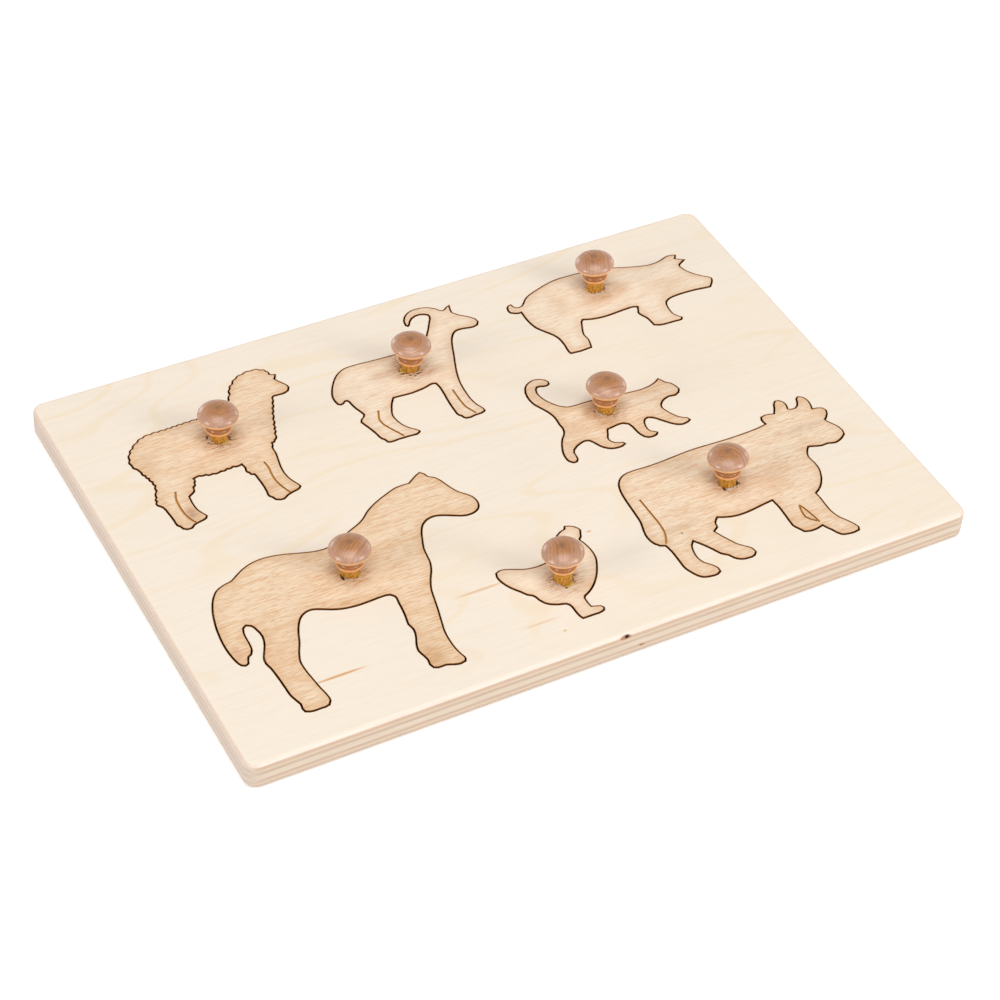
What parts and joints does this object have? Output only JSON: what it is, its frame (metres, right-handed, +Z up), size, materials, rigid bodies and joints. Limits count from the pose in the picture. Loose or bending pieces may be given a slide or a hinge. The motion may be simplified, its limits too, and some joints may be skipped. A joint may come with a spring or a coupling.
{
  "type": "peg puzzle",
  "caption": "Two-layer plywood inset board puzzle: animal silhouettes cut from the upper sheet lift out of their holes by turned wooden knobs.",
  "frame": {"origin": "middle of the board's underside", "axes": "+X along the board's length, towards which the animals face; +Y across the board, towards the animals' heads; +Z up out of the board's face"},
  "size_m": [0.3, 0.208, 0.0299],
  "materials": {
    "board_birch": "sanded birch plywood with an oiled face",
    "animal_birch": "oiled birch plywood with laser-charred edges",
    "knob_hardwood": "turned hardwood with a gloss varnish"
  },
  "bodies": {
    "root": {"backing_sheet": "board_birch", "cutout_sheet": "board_birch"},
    "sheep_piece": {"sheep": "animal_birch", "sheep_knob": "knob_hardwood"},
    "goat_piece": {"goat": "animal_birch", "goat_knob": "knob_hardwood"},
    "pig_piece": {"pig": "animal_birch", "pig_knob": "knob_hardwood"},
    "cat_piece": {"cat": "animal_birch", "cat_knob": "knob_hardwood"},
    "horse_piece": {"horse": "animal_birch", "horse_knob": "knob_hardwood"},
    "hen_piece": {"hen": "animal_birch", "hen_knob": "knob_hardwood"},
    "cow_piece": {"cow": "animal_birch", "cow_knob": "knob_hardwood"}
  },
  "joints": [
    {"name": "sheep_lift", "type": "slide", "parent": "root", "child": "sheep_piece", "axis": [0, 0, 1], "range_m": [0, 0.04]},
    {"name": "goat_lift", "type": "slide", "parent": "root", "child": "goat_piece", "axis": [0, 0, 1], "range_m": [0, 0.04]},
    {"name": "pig_lift", "type": "slide", "parent": "root", "child": "pig_piece", "axis": [0, 0, 1], "range_m": [0, 0.04]},
    {"name": "cat_lift", "type": "slide", "parent": "root", "child": "cat_piece", "axis": [0, 0, 1], "range_m": [0, 0.04]},
    {"name": "horse_lift", "type": "slide", "parent": "root", "child": "horse_piece", "axis": [0, 0, 1], "range_m": [0, 0.04]},
    {"name": "hen_lift", "type": "slide", "parent": "root", "child": "hen_piece", "axis": [0, 0, 1], "range_m": [0, 0.04]},
    {"name": "cow_lift", "type": "slide", "parent": "root", "child": "cow_piece", "axis": [0, 0, 1], "range_m": [0, 0.04]}
  ]
}
